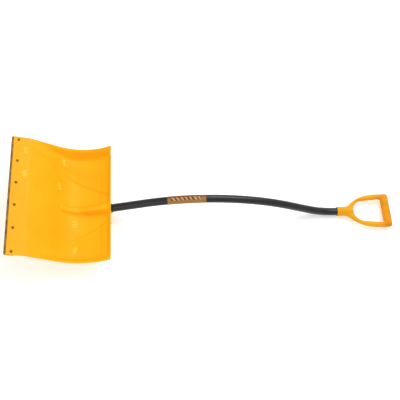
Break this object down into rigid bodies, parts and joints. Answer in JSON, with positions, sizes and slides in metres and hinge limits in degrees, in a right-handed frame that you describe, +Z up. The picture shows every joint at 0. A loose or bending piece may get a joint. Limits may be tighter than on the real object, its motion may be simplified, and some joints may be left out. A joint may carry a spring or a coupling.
{
  "type": "snow shovel",
  "caption": "Snow shovel with a deep moulded scoop blade, a riveted steel wear strip, a bent steel tube handle and a D-shaped hand grip.",
  "frame": {"origin": "below the middle of the bounding box, at the level of the floor that the shovel lies on, on its back", "axes": "+X from the blade to the hand grip along the handle, +Y across the blade, +Z up, out of the blade's front face"},
  "size_m": [1.4345, 0.445, 0.1821],
  "materials": {
    "blade_plastic": "moulded yellow-orange polyethylene, soft satin gloss with fine scuffs",
    "grip_plastic": "moulded yellow-orange polypropylene, satin",
    "strip_steel": "rolled steel strip, worn at its front edge",
    "rivet_steel": "dull zinc-plated domed rivets",
    "tube_enamel": "smooth black enamel on steel tube",
    "sleeve_film": "printed film wrap with slanted stripes",
    "screw_steel": "bright zinc-plated"
  },
  "bodies": {
    "root": {"blade": "blade_plastic", "wear_strip": "strip_steel", "wear_strip_rivets": "rivet_steel", "handle_tube": "tube_enamel", "handle_sleeve": "sleeve_film", "d_grip": "grip_plastic", "socket_screw": "screw_steel", "grip_screw": "screw_steel"}
  },
  "joints": []
}
